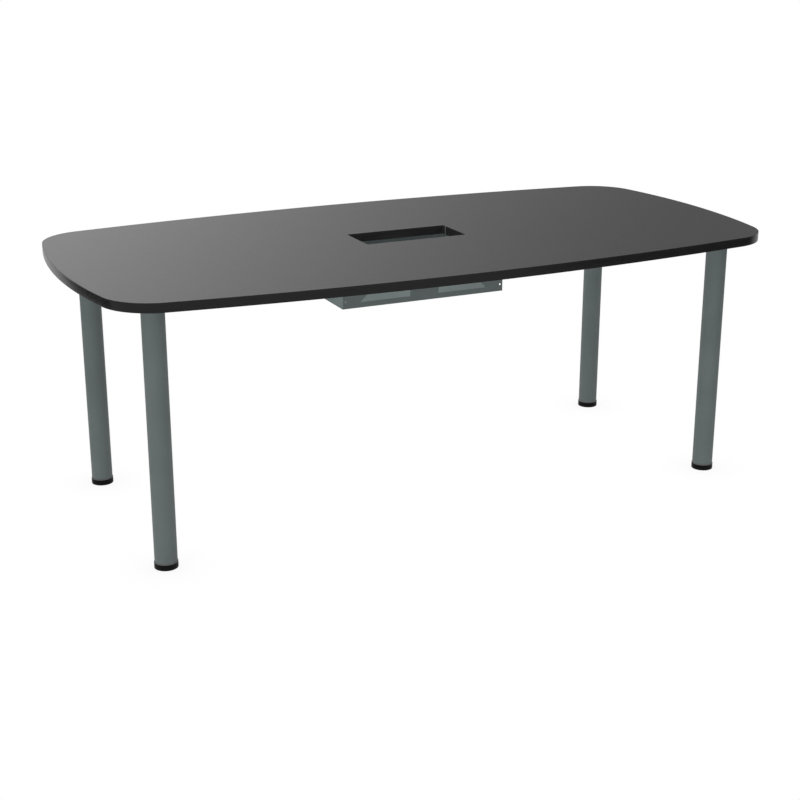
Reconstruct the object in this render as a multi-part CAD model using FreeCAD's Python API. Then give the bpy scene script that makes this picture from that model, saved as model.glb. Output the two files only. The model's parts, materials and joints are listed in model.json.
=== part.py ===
import FreeCAD, Part
import math
import os

# Conference table: a barrel-shaped board on four round legs with levelling feet, and a folded cable tray
# under a cut-out in the board. Millimetres, +Z up, X along the table, front towards -Y.
# The origin is on the floor, under the middle of the board.

# Board and its glued edge band
table_height = 735.0
top_length = 2000.0
top_width = 1000.0
top_thickness = 25.0
long_side_radius = 6650.0
end_radius = 1720.0
corner_radius = 145.0
edge_band_thickness = 2.0
edge_band_bevel = 0.8
glue_line = 0.1

# Cable cut-out and its lining
cutout_length = 307.0
cutout_width = 143.0
cutout_corner_radius = 5.0
cutout_band_thickness = 2.0

# Legs
leg_inset_from_end = 156.0
leg_inset_from_side = 172.0
leg_diameter = 60.0
leg_wall = 2.0

# Plate welded on top of each leg: a clipped triangle with a hole for a wood screw in each tip
plate_thickness = 4.0
plate_tip_count = 3
plate_tip_width = 28.0
plate_tip_margin = 12.0
plate_hole_diameter = 6.8
plate_hole_from_tube = 16.0

# Plug in the tube's lower end, threaded for the spindle
plug_length = 24.0
slip_clearance = 0.1

# Levelling foot: a threaded spindle moulded into a pad
foot_height = 19.0
foot_diameter = 63.0
foot_rim_height = 1.6
foot_rim_depth = 1.2
foot_bevel = 1.0
foot_stop_gap = 0.3
foot_sole = 5.0
spindle_diameter = 8.0
spindle_reach = 50.0
fit_clearance = 0.05

# Cable tray, one folded sheet with open ends
tray_length = 500.0
tray_width = 240.0
tray_depth = 140.0
tray_sheet = 1.5
tray_bend_radius = 1.5
tray_flange = 22.0
tray_flange_clip = 6.0

# Windows and holes in the tray's walls, and the holes for wood screws in its flanges
tray_post_width = 88.0
tray_window_end_margin = 53.5
tray_window_sill = 16.5
tray_window_head = 40.0
tray_window_slant = 91.0
tray_hole_diameter = 6.0
tray_hole_inset = 8.0
tray_hole_rise = 20.5
flange_hole_diameter = 5.4
flange_hole_inset = 50.0
flange_hole_from_wall = 12.0

# Places worked out from the sizes above
underside = table_height - top_thickness
leg_x = top_length / 2 - leg_inset_from_end
leg_y = top_width / 2 - leg_inset_from_side
plate_bottom = underside - plate_thickness
tube_bottom = foot_height + foot_stop_gap
tube_radius = leg_diameter / 2
tube_bore = tube_radius - leg_wall
tray_bottom = underside - tray_depth
flange_bottom = underside - tray_sheet

corners = (
    ("front_left", -1, -1),
    ("front_right", 1, -1),
    ("back_left", -1, 1),
    ("back_right", 1, 1),
)

# How far a cutting tool runs past the surface that it cuts, and how near counts as the same place
overrun = 1.0
same_place = 1e-6


def vec(x, y, z=0.0):
    return FreeCAD.Vector(x, y, z)


def unit(vector):
    return vector * (1.0 / vector.Length)


def line(start, end):
    return Part.LineSegment(start, end).toShape()


def arc_about(centre, start, end):
    """The shorter arc about a centre, from start to end."""
    radius = (start - centre).Length
    middle = centre + unit((start - centre) + (end - centre)) * radius
    return Part.Arc(start, middle, end).toShape()


def face_within(edges):
    """The flat face inside a closed loop of edges, given in any order."""
    return Part.Face(Part.Wire(Part.sortEdges(edges)[0]))


def polygon_face(points):
    return Part.Face(Part.makePolygon(list(points) + [points[0]]))


def rod(radius, bottom, top):
    return Part.makeCylinder(radius, top - bottom, vec(0, 0, bottom))


def edge_points(edge):
    """An edge's start, middle and end."""
    first = edge.FirstParameter
    last = edge.LastParameter
    return [edge.valueAt(parameter) for parameter in (first, (first + last) / 2, last)]


def level_edges(shape, heights):
    """The edges that lie flat at one of the given heights."""
    found = []
    for edge in shape.Edges:
        points = edge_points(edge)
        if any(max(abs(point.z - height) for point in points) < same_place for height in heights):
            found.append(edge)
    return found


def barrel_face(inset, z):
    """The board's outline, moved in by inset: two long arcs and two end arcs joined by corner arcs."""
    side_centre = vec(0, top_width / 2 - long_side_radius, z)
    tip_centre = vec(top_length / 2 - end_radius, 0, z)
    # The corner's centre is where circles about the two arcs' centres cross
    apart = tip_centre - side_centre
    from_side = long_side_radius - corner_radius
    from_tip = end_radius - corner_radius
    along = (apart.Length ** 2 + from_side ** 2 - from_tip ** 2) / (2 * apart.Length)
    across = math.sqrt(from_side ** 2 - along ** 2)
    direction = unit(apart)
    corner_centre = side_centre + direction * along + vec(direction.y, -direction.x) * across
    on_side = corner_centre + unit(corner_centre - side_centre) * (corner_radius - inset)
    on_tip = corner_centre + unit(corner_centre - tip_centre) * (corner_radius - inset)

    def mirrored(point, x_sign, y_sign):
        return vec(point.x * x_sign, point.y * y_sign, point.z)

    edges = []
    for _, x_sign, y_sign in corners:
        edges.append(arc_about(*[mirrored(p, x_sign, y_sign) for p in (corner_centre, on_tip, on_side)]))
    for sign in (1, -1):
        crown = vec(0, sign * (top_width / 2 - inset), z)
        edges.append(Part.Arc(mirrored(on_side, -1, sign), crown, mirrored(on_side, 1, sign)).toShape())
        crown = vec(sign * (top_length / 2 - inset), 0, z)
        edges.append(Part.Arc(mirrored(on_tip, sign, -1), crown, mirrored(on_tip, sign, 1)).toShape())
    return face_within(edges)


def cutout_face(outset, z):
    """The finished cut-out's outline, a rectangle with rounded corners, moved out by outset."""
    radius = cutout_corner_radius + outset
    half_x = cutout_length / 2 + outset
    half_y = cutout_width / 2 + outset
    edges = []
    for _, x_sign, y_sign in corners:
        centre = vec(x_sign * (half_x - radius), y_sign * (half_y - radius), z)
        edges.append(arc_about(centre, centre + vec(x_sign * radius, 0), centre + vec(0, y_sign * radius)))
    for sign in (1, -1):
        edges.append(line(vec(radius - half_x, sign * half_y, z), vec(half_x - radius, sign * half_y, z)))
        edges.append(line(vec(sign * half_x, radius - half_y, z), vec(sign * half_x, half_y - radius, z)))
    return face_within(edges)


def make_tabletop_panel():
    panel = barrel_face(edge_band_thickness + glue_line, underside).extrude(vec(0, 0, top_thickness))
    window = cutout_face(cutout_band_thickness + glue_line, underside - overrun)
    return panel.cut(window.extrude(vec(0, 0, top_thickness + 2 * overrun)))


def make_perimeter_edge_band():
    """The band round the board's edge, with both outer edges bevelled."""
    outer = barrel_face(0, underside).extrude(vec(0, 0, top_thickness))
    outer = outer.makeChamfer(edge_band_bevel, level_edges(outer, (underside, table_height)))
    inner = barrel_face(edge_band_thickness, underside - overrun)
    return outer.cut(inner.extrude(vec(0, 0, top_thickness + 2 * overrun)))


def make_cutout_edge_band():
    """The lining of the cut-out, a closed band with rounded corners."""
    ring = cutout_face(cutout_band_thickness, underside).cut(cutout_face(0, underside))
    return ring.extrude(vec(0, 0, top_thickness))


def make_leg_tube():
    bore = rod(tube_bore, tube_bottom - overrun, plate_bottom + overrun)
    return rod(tube_radius, tube_bottom, plate_bottom).cut(bore)


def make_leg_plate(inward):
    """The plate on top of a leg, with its first tip towards the middle of the table."""
    hole_place = tube_radius + plate_hole_from_tube
    hole = rod(plate_hole_diameter / 2, plate_bottom - overrun, underside + overrun)
    outline = []
    holes = []
    for k in range(plate_tip_count):
        angle = 2 * math.pi * k / plate_tip_count
        tip = vec(inward * math.cos(angle), math.sin(angle))
        sideways = vec(-tip.y, tip.x) * (inward * plate_tip_width / 2)
        end = tip * (hole_place + plate_tip_margin) + vec(0, 0, plate_bottom)
        outline += [end - sideways, end + sideways]
        holes.append(hole.translated(tip * hole_place))
    return polygon_face(outline).extrude(vec(0, 0, plate_thickness)).cut(holes)


def make_leg_plug():
    top = tube_bottom + plug_length
    bore = rod(spindle_diameter / 2 + fit_clearance, tube_bottom - overrun, top + overrun)
    return rod(tube_bore - slip_clearance, tube_bottom, top).cut(bore)


def make_foot_spindle():
    return rod(spindle_diameter / 2, foot_sole + fit_clearance, tube_bottom + spindle_reach)


def make_foot_pad():
    """Moulded pad, turned from its half section: a sloping rim, a bevelled sole and the spindle's socket."""
    radius = foot_diameter / 2
    socket = spindle_diameter / 2 + fit_clearance
    section = [
        (0, 0),
        (radius - foot_bevel, 0),
        (radius, foot_bevel),
        (radius, foot_height - foot_rim_height),
        (radius - foot_rim_depth, foot_height),
        (socket, foot_height),
        (socket, foot_sole),
        (0, foot_sole),
    ]
    return polygon_face([vec(r, 0, z) for r, z in section]).revolve(vec(0, 0, 0), vec(0, 0, 1), 360)


def bent_sheet_face(points, sheet, bend_radius):
    """Section of a folded sheet in a plane of constant X, from the corner points of its middle line."""
    middle_radius = bend_radius + sheet / 2
    normals = []
    for start, end in zip(points, points[1:]):
        direction = unit(end - start)
        normals.append(vec(0, -direction.z, direction.y))
    edges = []
    ends = []
    for side in (1, -1):
        offset = side * sheet / 2
        here = points[0] + normals[0] * offset
        ends.append([here])
        for i in range(1, len(points) - 1):
            back = unit(points[i - 1] - points[i])
            ahead = unit(points[i + 1] - points[i])
            half_angle = back.getAngle(ahead) / 2
            reach = middle_radius / math.tan(half_angle)
            centre = points[i] + unit(back + ahead) * (middle_radius / math.sin(half_angle))
            bend_start = points[i] + back * reach + normals[i - 1] * offset
            bend_end = points[i] + ahead * reach + normals[i] * offset
            edges.append(line(here, bend_start))
            edges.append(arc_about(centre, bend_start, bend_end))
            here = bend_end
        last = points[-1] + normals[-1] * offset
        edges.append(line(here, last))
        ends[-1].append(last)
    for k in (0, 1):
        edges.append(line(ends[0][k], ends[1][k]))
    return face_within(edges)


def tray_window_tools():
    """Cutters for the windows in both walls, upright beside the middle post and slanted at the other end."""
    sill = tray_bottom + tray_window_sill
    head = underside - tray_window_head
    inner = tray_post_width / 2
    outer = tray_length / 2 - tray_window_end_margin
    outline = [(inner, sill), (outer, sill), (outer - tray_window_slant, head), (inner, head)]
    front = -tray_width / 2 - overrun
    tools = []
    for side in (-1, 1):
        face = polygon_face([vec(side * x, front, z) for x, z in outline])
        tools.append(face.extrude(vec(0, -2 * front, 0)))
    return tools


def tray_hole_tools():
    """Cutters for the round holes at the ends of the walls and for the screw holes in the flanges."""
    tools = []
    front = -tray_width / 2 - overrun
    for side in (-1, 1):
        base = vec(side * (tray_length / 2 - tray_hole_inset), front, tray_bottom + tray_hole_rise)
        tools.append(Part.makeCylinder(tray_hole_diameter / 2, -2 * front, base, vec(0, 1, 0)))
    hole = rod(flange_hole_diameter / 2, flange_bottom - overrun, underside + overrun)
    hole_x = tray_length / 2 - flange_hole_inset
    hole_y = tray_width / 2 + flange_hole_from_wall
    for _, x_sign, y_sign in corners:
        tools.append(hole.translated(vec(x_sign * hole_x, y_sign * hole_y)))
    return tools


def make_cable_tray():
    """One folded sheet: flanges turned outward, two walls with windows, and a floor. Its ends are open."""
    wall = (tray_width - tray_sheet) / 2
    rim = tray_width / 2 + tray_flange
    floor = tray_bottom + tray_sheet / 2
    ledge = underside - tray_sheet / 2
    section = [(-rim, ledge), (-wall, ledge), (-wall, floor), (wall, floor), (wall, ledge), (rim, ledge)]
    points = [vec(-tray_length / 2, y, z) for y, z in section]
    tray = bent_sheet_face(points, tray_sheet, tray_bend_radius).extrude(vec(tray_length, 0, 0))
    flange_corners = []
    for edge in tray.Edges:
        start, _, end = edge_points(edge)
        upright = abs(abs(end.z - start.z) - tray_sheet) < same_place
        if upright and abs(edge.Length - tray_sheet) < same_place:
            flange_corners.append(edge)
    tray = tray.makeChamfer(tray_flange_clip, flange_corners)
    return tray.cut(tray_window_tools() + tray_hole_tools())


def make_nodes():
    """Every piece of the table in its place, by node name. The four plugs share a node."""
    nodes = {
        "tabletop_panel": make_tabletop_panel(),
        "perimeter_edge_band": make_perimeter_edge_band(),
        "cutout_edge_band": make_cutout_edge_band(),
        "cable_tray": make_cable_tray(),
    }
    plugs = []
    for name, x_sign, y_sign in corners:
        place = vec(x_sign * leg_x, y_sign * leg_y)
        nodes[name + "_leg_tube"] = make_leg_tube().translated(place)
        nodes[name + "_leg_plate"] = make_leg_plate(-x_sign).translated(place)
        nodes[name + "_foot_spindle"] = make_foot_spindle().translated(place)
        nodes[name + "_foot_pad"] = make_foot_pad().translated(place)
        plugs.append(make_leg_plug().translated(place))
    nodes["leg_plugs"] = Part.makeCompound(plugs)
    return nodes


os.makedirs("parts", exist_ok=True)
for node_name, shape in make_nodes().items():
    shape.exportStep(os.path.join("parts", node_name + ".step"))
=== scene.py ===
import json
import math

import bpy
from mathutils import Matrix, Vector


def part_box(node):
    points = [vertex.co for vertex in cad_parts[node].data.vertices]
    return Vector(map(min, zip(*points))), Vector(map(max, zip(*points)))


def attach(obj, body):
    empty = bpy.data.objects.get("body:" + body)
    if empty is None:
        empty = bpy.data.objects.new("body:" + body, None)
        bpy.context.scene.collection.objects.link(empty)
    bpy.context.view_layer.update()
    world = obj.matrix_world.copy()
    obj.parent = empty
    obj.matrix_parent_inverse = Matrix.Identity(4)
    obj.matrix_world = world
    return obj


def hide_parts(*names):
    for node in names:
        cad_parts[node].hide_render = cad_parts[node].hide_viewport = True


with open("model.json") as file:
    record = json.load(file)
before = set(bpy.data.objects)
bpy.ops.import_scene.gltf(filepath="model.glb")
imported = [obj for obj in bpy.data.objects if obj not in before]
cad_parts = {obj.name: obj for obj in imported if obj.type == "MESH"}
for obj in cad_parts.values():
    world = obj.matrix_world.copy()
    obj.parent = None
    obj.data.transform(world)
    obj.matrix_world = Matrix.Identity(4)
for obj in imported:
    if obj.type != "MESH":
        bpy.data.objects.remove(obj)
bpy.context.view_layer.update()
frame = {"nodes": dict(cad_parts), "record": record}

# Camera, fitted to the photograph: metres, degrees, and millimetres for the lens
camera_place = (-1.78761, -3.76949, 1.63439)
camera_yaw = 25.1197
camera_pitch = 18.531
camera_lens = 66.756
camera_sensor = 36.0

# Angles in degrees from which an edge is shaded sharp
sharp_edge = 35
pad_sharp_edge = 20

# Outline of the board and its edge band, in metres as all sizes from here on
long_side_radius = 6.65
end_radius = 1.72
corner_radius = 0.145
band_thickness = 0.002
band_round = 0.0008
long_side_steps = 120
end_steps = 60
corner_steps = 28
round_steps = 5

# Lining of the cable cut-out, and a raised light-grey strip on its right side near the back corner: a
# painted line of light
lining_thickness = 0.002
lining_corner_radius = 0.005
lining_round = 0.0006
lining_corner_steps = 10
light_line_from_corner = 0.014
light_line_width = 0.0030
light_line_rise = 0.0003
light_line_steps = 8

# Pads of the levelling feet
pad_rim_height = 0.0026
pad_rim_depth = 0.0014
pad_bottom_round = 0.0010
pad_sole = 0.005
pad_steps = 128

# Spindles of the feet. The thread's root and mouth are measured from its groove's middle, in half pitches
thread_pitch = 0.00125
thread_depth = 0.00068
thread_root = 0.14
thread_mouth = 0.50
thread_rings_per_turn = 8
thread_steps = 32
fit_clearance = 0.00005

# Wood screws of the leg plates and the tray, and where they are
plate_tip_count = 3
plate_hole_from_tube = 0.016
plate_screw_shank = 0.003
plate_screw_flats = 0.010
tray_screw_shank = 0.0022
tray_screw_flats = 0.008
tray_screw_inset = 0.050
tray_screw_from_wall = 0.012
tray_flange = 0.022
tray_sheet = 0.0015
screw_steps = 48

# A screw's head, in widths across its flats: radius, or None for the hexagon, and depth below its seat
screw_head = (
    (0.28, 0.36),
    (0.34, 0.42),
    (0.45, 0.42),
    (None, 0.36),
    (None, 0.14),
    (0.679, 0.10),
    (0.70, 0.05),
    (0.70, 0),
)

# Weld bead between a leg tube and its plate
weld_size = 0.0035
weld_hollow = 0.0025
weld_hollow_steps = 4
weld_ripple = 0.00025
weld_ripples = 90
weld_steps = 360

# Ranges of a texture's values: what a noise really fills, and the whole range
noise_range = (0.3, 0.7)
whole_range = (0, 1)

# Painted highlight on the sloping rims of the feet: how far up a surface faces where the lighter grey comes
# in and goes out, and its colour
rim_highlight_in = (0.20, 0.42)
rim_highlight_out = (0.60, 0.80)
rim_highlight_colour = (0.085, 0.085, 0.085)

# Floor and white studio. The flags hang higher than the floor's shadow reaches, so they leave none on it
floor_size = 60.0
floor_shadow = 0.15
floor_shadow_reach = 0.12
world_colour = (1, 1, 1, 1)
world_light = 0.56
world_seen = 1.0

# Panels round the table: bearings are in degrees from +Y towards +X, seen from the middle of the table
screen_distance = 5.0
screen_bearings = (-5, 60)
screen_heights = (0.9, 4.5)
screen_levels = (0.29, 1.72)
screen_dark_from = 0.8
screen_curve = 1.5
screen_upward_fade = (1.10, 0.60)
flag_distance = 2.3
right_flag_bearings = (103, 150)
left_flag_bearings = (-85, -45)
flag_heights = (0.13, 0.75)

# Lamps: where they shine to, how strongly, and over which angle in degrees
key_direction = (0.77, 0.46, -0.44)
key_strength = 0.97
key_spread = 25
fill_direction = (0, 0, -1)
fill_strength = 3.3
fill_spread = 20

corner_names = ("front_left", "front_right", "back_left", "back_right")


def new_object(name, points, faces, sharp_angle=sharp_edge):
    """A mesh object that is smooth but for edges sharper than an angle in degrees."""
    mesh = bpy.data.meshes.new(name)
    mesh.from_pydata(points, [], faces)
    mesh.validate()
    mesh.shade_smooth()
    mesh.set_sharp_from_angle(angle=math.radians(sharp_angle))
    piece = bpy.data.objects.new(name, mesh)
    bpy.context.scene.collection.objects.link(piece)
    return piece


def joined_loops(loops, closed):
    """Quads between loops of equally many points. A closed list joins its last loop to its first."""
    count = len(loops[0])
    points = [point for loop in loops for point in loop]
    faces = []
    for i in range(len(loops) if closed else len(loops) - 1):
        here = i * count
        there = (i + 1) % len(loops) * count
        for k in range(count):
            ahead = (k + 1) % count
            faces.append((here + k, here + ahead, there + ahead, there + k))
    return points, faces


def capped_loops(loops):
    """Quads between loops that go up, with a face over the first and the last."""
    count = len(loops[0])
    points, faces = joined_loops(loops, closed=False)
    faces.append(tuple(range(count))[::-1])
    faces.append(tuple(range(len(points) - count, len(points))))
    return points, faces


def even_turns(steps):
    """Angles in radians that divide a full turn evenly."""
    return [2 * math.pi * k / steps for k in range(steps)]


def loop_about(centre, reaches, z):
    """Points at even turns about a vertical axis, each at its own distance from the axis."""
    places = zip(reaches, even_turns(len(reaches)))
    return [(centre.x + reach * math.cos(a), centre.y + reach * math.sin(a), z) for reach, a in places]


def ring(centre, radius, z, steps):
    """Points of a circle about a vertical axis."""
    return loop_about(centre, [radius] * steps, z)


def turned_piece(name, centre, section, steps, sharp_angle):
    """A solid turned about a vertical axis, from (radius, z) points that start and end on the axis."""
    loops = [ring(centre, radius, z, steps) for radius, z in section[1:-1]]
    points, faces = joined_loops(loops, closed=False)
    for end, first, order in ((section[0], 0, -1), (section[-1], len(points) - steps, 1)):
        points.append((centre.x, centre.y, end[1]))
        for k in range(steps):
            faces.append((first + k, first + (k + 1) % steps, len(points) - 1)[::order])
    return new_object(name, points, faces, sharp_angle)


def quarter(centre, radius, start, steps):
    """Points of a quarter circle, anticlockwise from an angle in degrees."""
    angles = [math.radians(start + 90 * k / steps) for k in range(steps + 1)]
    return [(centre[0] + radius * math.cos(a), centre[1] + radius * math.sin(a)) for a in angles]


def band_section(thickness, bottom, top, rounding):
    """A band's section as (inset, z) points: flat inside, with its two outer edges rounded."""
    low = quarter((rounding, bottom + rounding), rounding, 180, round_steps)[::-1]
    high = quarter((rounding, top - rounding), rounding, 90, round_steps)[::-1]
    return [(thickness, bottom)] + low + high + [(thickness, top)]


def barrel_outline(half_length, half_width, inset):
    """The board's outline, moved in by inset: long, end and corner arcs that meet with no kink."""
    side = Vector((0, half_width - long_side_radius))
    tip = Vector((half_length - end_radius, 0))
    apart = tip - side
    from_side = long_side_radius - corner_radius
    from_tip = end_radius - corner_radius
    along = (apart.length_squared + from_side ** 2 - from_tip ** 2) / (2 * apart.length)
    across = math.sqrt(from_side ** 2 - along ** 2)
    direction = apart.normalized()
    corner = side + direction * along + Vector((direction.y, -direction.x)) * across
    other_corner = Vector((-corner.x, corner.y))
    tip_turn = math.atan2(corner.y - tip.y, corner.x - tip.x)
    side_turn = math.atan2(corner.y - side.y, corner.x - side.x)
    half_turn = math.pi
    arcs = (
        (tip, end_radius, -tip_turn, tip_turn, end_steps),
        (corner, corner_radius, tip_turn, side_turn, corner_steps),
        (side, long_side_radius, side_turn, half_turn - side_turn, long_side_steps),
        (other_corner, corner_radius, half_turn - side_turn, half_turn - tip_turn, corner_steps),
    )
    outline = []
    for sign in (1, -1):
        for centre, radius, start, end, steps in arcs:
            for k in range(steps):
                turn = start + (end - start) * k / steps
                reach = radius - inset
                x = centre.x + reach * math.cos(turn)
                y = centre.y + reach * math.sin(turn)
                outline.append((sign * x, sign * y))
    return outline


def rectangle_outline(half_x, half_y, radius):
    """A rectangle with rounded corners, anticlockwise."""
    outline = []
    for k, (x_sign, y_sign) in enumerate(((1, 1), (-1, 1), (-1, -1), (1, -1))):
        centre = (x_sign * (half_x - radius), y_sign * (half_y - radius))
        outline += quarter(centre, radius, 90 * k, lining_corner_steps)
    return outline


def at_height(outline, z):
    """An outline's points at one height."""
    return [(x, y, z) for x, y in outline]


def make_perimeter_edge_band():
    """The band round the board, with rounded edges."""
    low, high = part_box("perimeter_edge_band")
    loops = []
    for inset, z in band_section(band_thickness, low.z, high.z, band_round):
        loops.append(at_height(barrel_outline(high.x, high.y, inset), z))
    band = new_object("rounded_edge_band", *joined_loops(loops, closed=True))
    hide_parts("perimeter_edge_band")
    return band


def make_cutout_edge_band():
    """The lining of the cut-out, with rounded edges."""
    low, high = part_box("cutout_edge_band")
    loops = []
    for inset, z in band_section(lining_thickness, low.z, high.z, lining_round):
        outset = lining_thickness - inset
        radius = lining_corner_radius + lining_thickness - outset
        outline = rectangle_outline(high.x - outset, high.y - outset, radius)
        loops.append(at_height(outline[::-1], z))
    lining = new_object("rounded_cutout_lining", *joined_loops(loops, closed=True))
    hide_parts("cutout_edge_band")
    return lining


def make_painted_light_line():
    """A raised light-grey strip on the right side of the cut-out, near its back corner: a painted line of
    light.
    """
    low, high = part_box("cutout_edge_band")
    face = high.x - lining_thickness
    middle = high.y - lining_thickness - light_line_from_corner
    back = []
    front = []
    for k in range(light_line_steps + 1):
        share = 2 * k / light_line_steps - 1
        y = middle + share * light_line_width / 2
        back.append((face + fit_clearance, y))
        front.append((face - light_line_rise * (1 - share ** 2), y))
    outline = back + front[::-1]
    loops = [at_height(outline, z) for z in (low.z + lining_round, high.z - lining_round)]
    return new_object("painted_light_line", *capped_loops(loops))


def make_foot_pad(corner):
    """The pad with its bevelled rim and rounded sole, and the socket that its spindle stands in."""
    node = corner + "_foot_pad"
    low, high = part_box(node)
    spindle_low, spindle_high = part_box(corner + "_foot_spindle")
    radius = (high.x - low.x) / 2
    socket = (spindle_high.x - spindle_low.x) / 2 + fit_clearance
    floor = low.z + pad_sole
    round_centre = (radius - pad_bottom_round, low.z + pad_bottom_round)
    section = [(0, low.z)]
    section += quarter(round_centre, pad_bottom_round, 270, round_steps)
    section += [(radius, high.z - pad_rim_height), (radius - pad_rim_depth, high.z)]
    section += [(socket, high.z), (socket, floor), (0, floor)]
    pad = turned_piece(corner + "_rounded_pad", (low + high) / 2, section, pad_steps, pad_sharp_edge)
    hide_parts(node)
    return pad


def make_foot_spindle(corner):
    """The spindle with its thread, plain where the pad is moulded round it."""
    node = corner + "_foot_spindle"
    low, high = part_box(node)
    centre = (low + high) / 2
    radius = (high.x - low.x) / 2
    plain_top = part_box(corner + "_foot_pad")[1].z
    rings = math.floor((high.z - plain_top) / thread_pitch * thread_rings_per_turn)
    heights = [low.z] + [plain_top + thread_pitch * k / thread_rings_per_turn for k in range(rings + 1)]
    loops = []
    for z in heights:
        reaches = []
        for k in range(thread_steps):
            from_root = abs(2 * (((z - plain_top) / thread_pitch - k / thread_steps) % 1.0) - 1)
            groove = max(0.0, min(1.0, (thread_mouth - from_root) / (thread_mouth - thread_root)))
            reaches.append(radius - (thread_depth * groove if z > plain_top else 0.0))
        loops.append(loop_about(centre, reaches, z))
    spindle = new_object(corner + "_threaded_spindle", *capped_loops(loops))
    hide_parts(node)
    return spindle


def hexagon_reach(turn, flats):
    """How far a hexagon's side is from its middle, at an angle in radians."""
    from_side = (turn + math.pi / 6) % (math.pi / 3) - math.pi / 6
    return flats / 2 / math.cos(from_side)


def make_screw(name, place, flats, shank, top):
    """A screw's flanged hexagon head under place, and its shank up to where the board begins."""
    hexagon = [hexagon_reach(turn, flats) for turn in even_turns(screw_steps)]
    loops = []
    for radius, depth in screw_head:
        reaches = [radius * flats] * screw_steps if radius else hexagon
        loops.append(loop_about(place, reaches, place.z - depth * flats))
    loops += [ring(place, shank, z, screw_steps) for z in (place.z, top)]
    return new_object(name, *capped_loops(loops))


def make_plate_screws(corner):
    """The screws in the tips of one leg plate."""
    low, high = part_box(corner + "_leg_plate")
    tube_low, tube_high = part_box(corner + "_leg_tube")
    centre = (tube_low + tube_high) / 2
    reach = (tube_high.x - tube_low.x) / 2 + plate_hole_from_tube
    inward = -math.copysign(1, centre.x)
    screws = []
    for k, turn in enumerate(even_turns(plate_tip_count)):
        x = centre.x + inward * reach * math.cos(turn)
        y = centre.y + reach * math.sin(turn)
        place = Vector((x, y, low.z))
        name = "{}_plate_screw_{}".format(corner, k + 1)
        screws.append(make_screw(name, place, plate_screw_flats, plate_screw_shank, high.z))
    return screws


def make_tray_screws():
    """The screws through the tray's flanges."""
    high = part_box("cable_tray")[1]
    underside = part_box("cutout_edge_band")[0].z
    screws = []
    for corner in corner_names:
        x_sign = -1 if "left" in corner else 1
        y_sign = -1 if "front" in corner else 1
        x = x_sign * (high.x - tray_screw_inset)
        y = y_sign * (high.y - tray_flange + tray_screw_from_wall)
        place = Vector((x, y, high.z - tray_sheet))
        name = corner + "_tray_screw"
        screws.append(make_screw(name, place, tray_screw_flats, tray_screw_shank, underside))
    return screws


def make_weld(corner):
    """The rippled bead in the corner between a tube and its plate."""
    low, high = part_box(corner + "_leg_tube")
    centre = (low + high) / 2
    radius = (high.x - low.x) / 2
    section = [(radius, high.z - weld_size)]
    for r, z in quarter((0, 0), weld_hollow, 0, weld_hollow_steps):
        section.append((radius + weld_size - r, high.z - weld_size + z))
    section += [(radius + weld_size, high.z), (radius, high.z)]
    ripples = [weld_ripple * math.sin(weld_ripples * turn) for turn in even_turns(weld_steps)]
    loops = []
    for reach, z in section:
        rippled = reach > radius and z < high.z
        reaches = [reach + ripple if rippled else reach for ripple in ripples]
        loops.append(loop_about(centre, reaches, z))
    return new_object(corner + "_weld", *joined_loops(loops, closed=True))


def arithmetic(tree, operation, first, second):
    """What a Math node makes of two values, each another node's output or a number."""
    node = tree.nodes.new("ShaderNodeMath")
    node.operation = operation
    for socket, value in zip(node.inputs, (first, second)):
        if isinstance(value, bpy.types.NodeSocket):
            tree.links.new(value, socket)
        else:
            socket.default_value = value
    return node.outputs["Value"]


def seen_directly(tree):
    """A value that is 1 where a surface is seen by the camera, in a reflection or through something."""
    path = tree.nodes.new("ShaderNodeLightPath").outputs
    mirrored = arithmetic(tree, "MAXIMUM", path["Is Camera Ray"], path["Is Glossy Ray"])
    return arithmetic(tree, "MAXIMUM", mirrored, path["Is Transmission Ray"])


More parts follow.
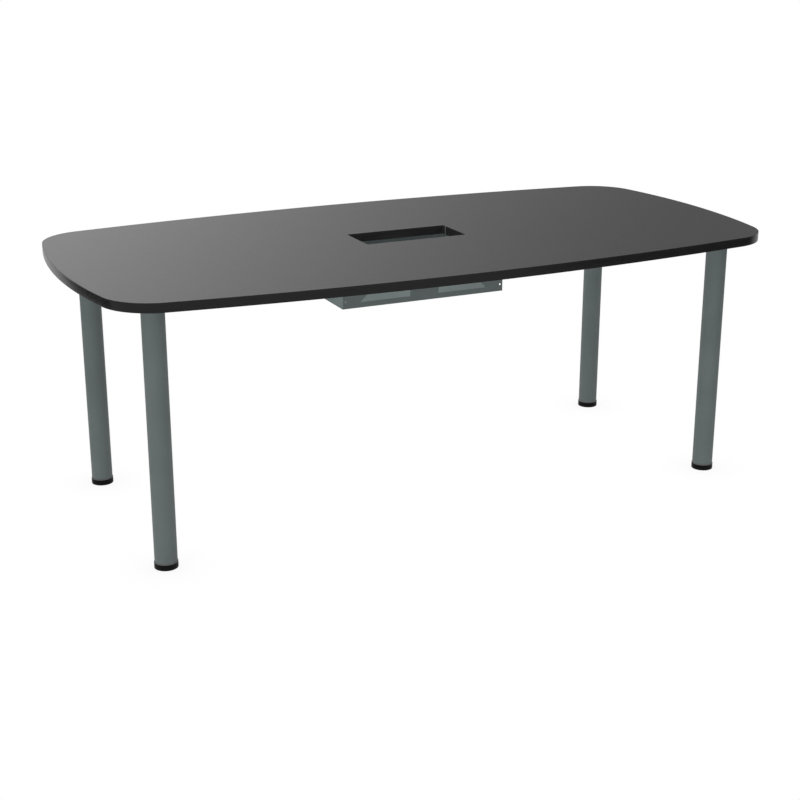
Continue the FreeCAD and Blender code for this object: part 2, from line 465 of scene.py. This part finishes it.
class Finish:
    """A material being built round one shader, with textures in the object's own coordinates."""

    def __init__(self, name):
        self.material = bpy.data.materials.new(name)
        self.material.use_nodes = True
        self.tree = self.material.node_tree
        self.nodes = self.tree.nodes
        self.links = self.tree.links
        self.shader = self.nodes["Principled BSDF"]
        self.surface = self.nodes["Material Output"].inputs["Surface"]
        self.place = self.nodes.new("ShaderNodeTexCoord").outputs

    def noise(self, scale, stretch=(1, 1, 1), detail=4):
        """A noise value from 0 to 1, with this many features a metre along each stretched axis."""
        mapping = self.nodes.new("ShaderNodeMapping")
        mapping.inputs["Scale"].default_value = stretch
        self.links.new(self.place["Object"], mapping.inputs["Vector"])
        noise = self.nodes.new("ShaderNodeTexNoise")
        noise.inputs["Scale"].default_value = scale
        noise.inputs["Detail"].default_value = detail
        self.links.new(mapping.outputs["Vector"], noise.inputs["Vector"])
        return noise.outputs["Fac"]

    def spread(self, value, low, high, source=noise_range):
        """A value moved from its source range to another range, from low to high."""
        spread = self.nodes.new("ShaderNodeMapRange")
        spread.inputs["From Min"].default_value = source[0]
        spread.inputs["From Max"].default_value = source[1]
        spread.inputs["To Min"].default_value = low
        spread.inputs["To Max"].default_value = high
        self.links.new(value, spread.inputs["Value"])
        return spread.outputs["Result"]

    def coordinate(self, vector, axis):
        """One coordinate of a vector."""
        split = self.nodes.new("ShaderNodeSeparateXYZ")
        self.links.new(vector, split.inputs["Vector"])
        return split.outputs[axis]

    def colour(self, value, dark, light):
        """The base colour, between two colours by a noise value."""
        mix = self.nodes.new("ShaderNodeMix")
        mix.data_type = "RGBA"
        self.links.new(self.spread(value, low=0, high=1), mix.inputs["Factor"])
        mix.inputs["A"].default_value = (*dark, 1)
        mix.inputs["B"].default_value = (*light, 1)
        self.links.new(mix.outputs["Result"], self.shader.inputs["Base Color"])

    def over_colour(self, share, colour):
        """Lays another colour over the base colour, by a share from 0 to 1."""
        base = self.shader.inputs["Base Color"]
        mix = self.nodes.new("ShaderNodeMix")
        mix.data_type = "RGBA"
        self.links.new(share, mix.inputs["Factor"])
        self.links.new(base.links[0].from_socket, mix.inputs["A"])
        mix.inputs["B"].default_value = (*colour, 1)
        self.links.new(mix.outputs["Result"], base)

    def roughness(self, value, low, high):
        """The roughness, between two levels by a noise value."""
        self.links.new(self.spread(value, low, high), self.shader.inputs["Roughness"])

    def bump(self, value, height):
        """Relief of this height in metres."""
        bump = self.nodes.new("ShaderNodeBump")
        bump.inputs["Distance"].default_value = height
        self.links.new(value, bump.inputs["Height"])
        self.links.new(bump.outputs["Normal"], self.shader.inputs["Normal"])

    def set(self, **values):
        """Constant shader values, by socket name with underscores for spaces."""
        for name, value in values.items():
            self.shader.inputs[name.replace("_", " ")].default_value = value


def board_finish():
    """Black melamine facing: faint lengthwise grain and a fine pebbled sheen."""
    finish = Finish("board_black")
    grain = finish.noise(scale=40, stretch=(0.12, 3.0, 3.0), detail=6)
    finish.colour(grain, dark=(0.0105, 0.0105, 0.0105), light=(0.0135, 0.0132, 0.0132))
    finish.roughness(finish.noise(scale=420, stretch=(0.15, 1, 1)), low=0.38, high=0.41)
    finish.bump(finish.noise(scale=1400, detail=2), height=0.00001)
    finish.set(Specular_IOR_Level=0.45)
    return finish.material


def edge_finish(name, dark, light):
    """Extruded black edge band: fine streaks along its length, between two shades of black."""
    finish = Finish(name)
    streaks = finish.noise(scale=240, stretch=(0.1, 0.1, 4), detail=3)
    finish.colour(streaks, dark=(dark, dark, dark), light=(light, light, light))
    finish.roughness(streaks, low=0.24, high=0.32)
    finish.bump(finish.noise(scale=1800, detail=2), height=0.00001)
    finish.set(Specular_IOR_Level=0.12)
    return finish.material


def light_line_finish():
    """Light grey for the strip in the cut-out: a painted line of light."""
    finish = Finish("painted_light_line_grey")
    finish.colour(finish.noise(scale=300), dark=(0.19, 0.19, 0.19), light=(0.23, 0.23, 0.23))
    finish.roughness(finish.noise(scale=900), low=0.50, high=0.62)
    finish.bump(finish.noise(scale=1500, detail=2), height=0.00002)
    return finish.material


def coated_finish():
    """Grey-green powder coat with its slight orange peel."""
    finish = Finish("coated_grey")
    finish.colour(finish.noise(scale=9), dark=(0.100, 0.122, 0.119), light=(0.113, 0.137, 0.134))
    finish.roughness(finish.noise(scale=300), low=0.55, high=0.66)
    finish.bump(finish.noise(scale=750, detail=3), height=0.00003)
    finish.set(Specular_IOR_Level=0.30)
    return finish.material


def foot_finish():
    """Black moulded plastic with a fine spark-eroded grain, and a painted highlight in lighter grey on its
    sloping rim.
    """
    finish = Finish("foot_black")
    normal = finish.nodes.new("ShaderNodeNewGeometry").outputs["Normal"]
    upward = finish.coordinate(normal, "Z")
    coming = finish.spread(upward, low=0, high=1, source=rim_highlight_in)
    going = finish.spread(upward, low=1, high=0, source=rim_highlight_out)
    finish.colour(finish.noise(scale=70), dark=(0.0020, 0.0018, 0.0019), light=(0.0035, 0.0031, 0.0032))
    # Painted highlight: the upward-sloping rim is laid over in lighter grey, standing in for the light it
    # catches from above
    finish.over_colour(arithmetic(finish.tree, "MULTIPLY", coming, going), rim_highlight_colour)
    finish.roughness(finish.noise(scale=500), low=0.45, high=0.60)
    finish.bump(finish.noise(scale=2200, detail=2), height=0.00002)
    finish.set(Specular_IOR_Level=0.08)
    return finish.material


def zinc_finish():
    """Bright zinc plating, slightly clouded."""
    finish = Finish("zinc_steel")
    finish.colour(finish.noise(scale=260), dark=(0.48, 0.49, 0.50), light=(0.62, 0.63, 0.64))
    finish.roughness(finish.noise(scale=900), low=0.26, high=0.40)
    finish.bump(finish.noise(scale=3000, detail=2), height=0.00001)
    finish.set(Metallic=1.0)
    return finish.material


def floor_finish():
    """A pale floor. Where it is seen it is clear, with a soft shadow near whatever stands on it."""
    finish = Finish("pale_floor")
    finish.colour(finish.noise(scale=3), dark=(0.52, 0.52, 0.52), light=(0.54, 0.54, 0.54))
    finish.set(Roughness=0.9, Specular_IOR_Level=0.0)
    near = finish.nodes.new("ShaderNodeAmbientOcclusion")
    near.inputs["Distance"].default_value = floor_shadow_reach
    tint = finish.spread(near.outputs["AO"], low=1 - floor_shadow, high=1, source=whole_range)
    clear = finish.nodes.new("ShaderNodeBsdfTransparent")
    finish.links.new(tint, clear.inputs["Color"])
    mix = finish.nodes.new("ShaderNodeMixShader")
    finish.links.new(seen_directly(finish.tree), mix.inputs["Fac"])
    finish.links.new(finish.shader.outputs["BSDF"], mix.inputs[1])
    finish.links.new(clear.outputs["BSDF"], mix.inputs[2])
    finish.links.new(mix.outputs["Shader"], finish.surface)
    return finish.material


def make_floor():
    """The floor that the table stands on."""
    half = floor_size / 2
    points = [(-half, -half, 0), (half, -half, 0), (half, half, 0), (-half, half, 0)]
    floor = new_object("floor", points, [(0, 1, 2, 3)])
    floor.data.materials.append(floor_finish())


def screen_finish():
    """A glowing screen that fades from white to dark grey along its length, and a little upwards."""
    finish = Finish("graduated_screen")
    along = finish.coordinate(finish.place["Generated"], "X")
    upward = finish.coordinate(finish.place["Generated"], "Z")
    fade = finish.spread(along, low=1, high=0, source=(0, screen_dark_from))
    curve = arithmetic(finish.tree, "POWER", fade, screen_curve)
    level = finish.spread(curve, *screen_levels, source=whole_range)
    dimming = finish.spread(upward, *screen_upward_fade, source=whole_range)
    glow = finish.nodes.new("ShaderNodeEmission")
    finish.links.new(arithmetic(finish.tree, "MULTIPLY", level, dimming), glow.inputs["Strength"])
    finish.links.new(glow.outputs["Emission"], finish.surface)
    return finish.material


def flag_finish():
    """Black cloth that keeps light away."""
    finish = Finish("black_cloth")
    finish.colour(finish.noise(scale=30), dark=(0.010, 0.010, 0.010), light=(0.014, 0.014, 0.014))
    finish.set(Roughness=1.0, Specular_IOR_Level=0.0)
    return finish.material


def make_panel(name, distance, bearings, heights, material):
    """An upright panel beside the table that the camera doesn't see."""
    points = []
    for bearing in bearings:
        turn = math.radians(bearing)
        for z in heights:
            points.append((distance * math.sin(turn), distance * math.cos(turn), z))
    panel = new_object(name, points, [(0, 1, 3, 2)])
    panel.data.materials.append(material)
    panel.visible_camera = False


def make_world():
    """A white studio, dimmer as a light than it looks."""
    world = bpy.data.worlds.new("studio")
    bpy.context.scene.world = world
    world.use_nodes = True
    tree = world.node_tree
    background = tree.nodes["Background"]
    background.inputs["Color"].default_value = world_colour
    strength = tree.nodes.new("ShaderNodeMix")
    tree.links.new(seen_directly(tree), strength.inputs["Factor"])
    strength.inputs["A"].default_value = world_light
    strength.inputs["B"].default_value = world_seen
    tree.links.new(strength.outputs["Result"], background.inputs["Strength"])


def make_sun(name, towards, strength, spread):
    """A distant lamp, spread over an angle in degrees. Shadows and gloss are left to the studio's light."""
    light = bpy.data.lights.new(name, "SUN")
    light.energy = strength
    light.angle = math.radians(spread)
    light.use_shadow = False
    lamp = bpy.data.objects.new(name, light)
    lamp.rotation_euler = Vector(towards).to_track_quat("-Z", "Y").to_euler()
    lamp.visible_glossy = False
    bpy.context.scene.collection.objects.link(lamp)


def make_camera():
    """The camera that took the photograph."""
    camera = bpy.data.cameras.new("camera")
    camera.lens = camera_lens
    camera.sensor_width = camera_sensor
    view = bpy.data.objects.new("camera", camera)
    view.location = camera_place
    view.rotation_euler = (math.radians(90 - camera_pitch), 0, math.radians(-camera_yaw))
    bpy.context.scene.collection.objects.link(view)
    bpy.context.scene.camera = view


def dress(piece, body, finish):
    """Puts a piece on its body, in a finish that stands for a material slot."""
    piece.data.materials.clear()
    piece.data.materials.append(finish)
    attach(piece, body)


finishes = {
    "board_black": board_finish(),
    "edge_black": edge_finish("edge_black", dark=0.0105, light=0.0135),
    "coated_grey": coated_finish(),
    "foot_black": foot_finish(),
    "zinc_steel": zinc_finish(),
}
for subpart in frame["record"]["subparts"]:
    frame["nodes"][subpart["node"]].material_slots[0].material = finishes[subpart["material_slot"]]

dress(make_perimeter_edge_band(), "table", finishes["edge_black"])
# The cut-out's lining is the edge band's black made lighter: painted light that makes up for the shade
# inside the cut-out
dress(make_cutout_edge_band(), "table", edge_finish("lining_black_painted_light", dark=0.016, light=0.020))
# A light-grey strip in the cut-out's corner: a painted line of light
dress(make_painted_light_line(), "table", light_line_finish())
for corner in corner_names:
    dress(make_foot_pad(corner), corner + "_pad", finishes["foot_black"])
    dress(make_foot_spindle(corner), corner + "_spindle", finishes["zinc_steel"])
    dress(make_weld(corner), "table", finishes["coated_grey"])
    for screw in make_plate_screws(corner):
        dress(screw, "table", finishes["zinc_steel"])
for screw in make_tray_screws():
    dress(screw, "table", finishes["zinc_steel"])

make_floor()
make_panel("screen", screen_distance, screen_bearings, screen_heights, screen_finish())
black_cloth = flag_finish()
make_panel("right_flag", flag_distance, right_flag_bearings, flag_heights, black_cloth)
make_panel("left_flag", flag_distance, left_flag_bearings, flag_heights, black_cloth)
make_world()
make_sun("key", key_direction, key_strength, key_spread)
make_sun("fill", fill_direction, fill_strength, fill_spread)
make_camera()
bpy.context.scene.view_settings.view_transform = "Standard"
